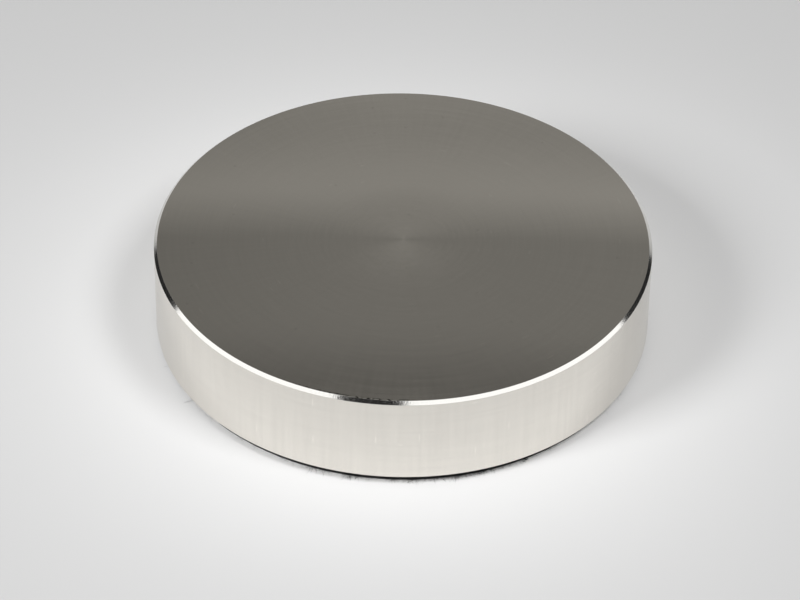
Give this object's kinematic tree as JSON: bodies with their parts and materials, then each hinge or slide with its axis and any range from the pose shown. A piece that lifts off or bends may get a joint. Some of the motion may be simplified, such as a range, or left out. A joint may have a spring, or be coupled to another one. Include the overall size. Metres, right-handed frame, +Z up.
{
  "type": "record weight",
  "caption": "Flat round turned steel weight with a chamfered top rim, a blind spindle bore underneath and a felt pad, set on a record to press it flat.",
  "frame": {"origin": "on the spindle's axis, at the felt's underside, where the weight rests on the record", "axes": "+Z up along the spindle's axis, out of the top face"},
  "size_m": [0.0786, 0.0786, 0.0165],
  "materials": {
    "steel": "fine turned, bright",
    "felt": "matte, fuzzy at its cut edge"
  },
  "bodies": {
    "root": {"weight_body": "steel", "felt_pad": "felt"}
  },
  "joints": []
}
